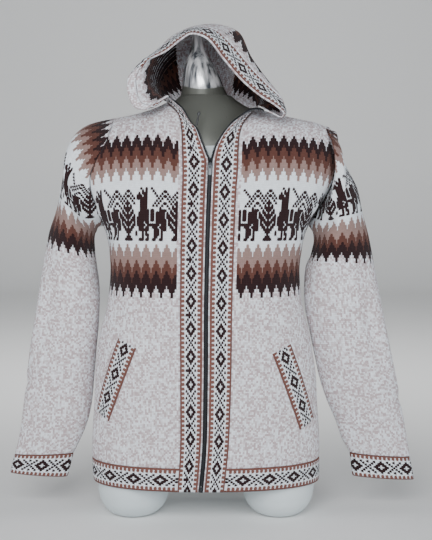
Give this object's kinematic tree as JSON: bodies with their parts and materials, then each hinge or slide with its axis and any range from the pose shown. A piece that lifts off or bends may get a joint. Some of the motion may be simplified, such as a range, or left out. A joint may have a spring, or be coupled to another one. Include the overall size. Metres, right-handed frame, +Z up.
{
  "type": "hooded zip sweater on a limbless torso form",
  "caption": "Knitted sweater with a hanging hood, an open-topped front zip, banded edges and slanted pocket trims, worn by a limbless torso form that stands on two short stubs.",
  "frame": {"origin": "on the floor, under the middle of the whole part's bounding box", "axes": "+Z up; the sweater's front faces -Y; the wearer's left is +X"},
  "size_m": [0.7618, 0.2424, 0.9078],
  "materials": {
    "knit": "soft marled wool knit",
    "zip_tape": "black woven tape",
    "zip_teeth": "black moulded",
    "metal": "grey plated",
    "neck_metal": "polished",
    "form_plastic": "satin"
  },
  "bodies": {
    "sweater_and_form": {"back": "knit", "cuff_left": "knit", "cuff_right": "knit", "form_neck": "neck_metal", "form_torso": "form_plastic", "front_band_left": "knit", "front_band_right": "knit", "front_left": "knit", "front_right": "knit", "hem_back": "knit", "hem_left": "knit", "hem_right": "knit", "hood": "knit", "hood_band": "knit", "pocket_trim_left": "knit", "pocket_trim_right": "knit", "sleeve_left": "knit", "sleeve_right": "knit", "zip_box": "zip_teeth", "zip_chain": "zip_teeth", "zip_puller": "zip_teeth", "zip_slider": "metal", "zip_stop_left": "metal", "zip_stop_right": "metal", "zip_tape_left": "zip_tape", "zip_tape_right": "zip_tape", "zip_teeth_left": "zip_teeth", "zip_teeth_right": "zip_teeth"},
    "pull_tab": {"zip_pull": "metal"}
  },
  "joints": [
    {"name": "zip_pull_swing", "type": "hinge", "parent": "sweater_and_form", "child": "pull_tab", "pos_m": [-0.00347, -0.1193, 0.645], "axis": [-1, 0, 0], "range_deg": [0, 165]}
  ]
}
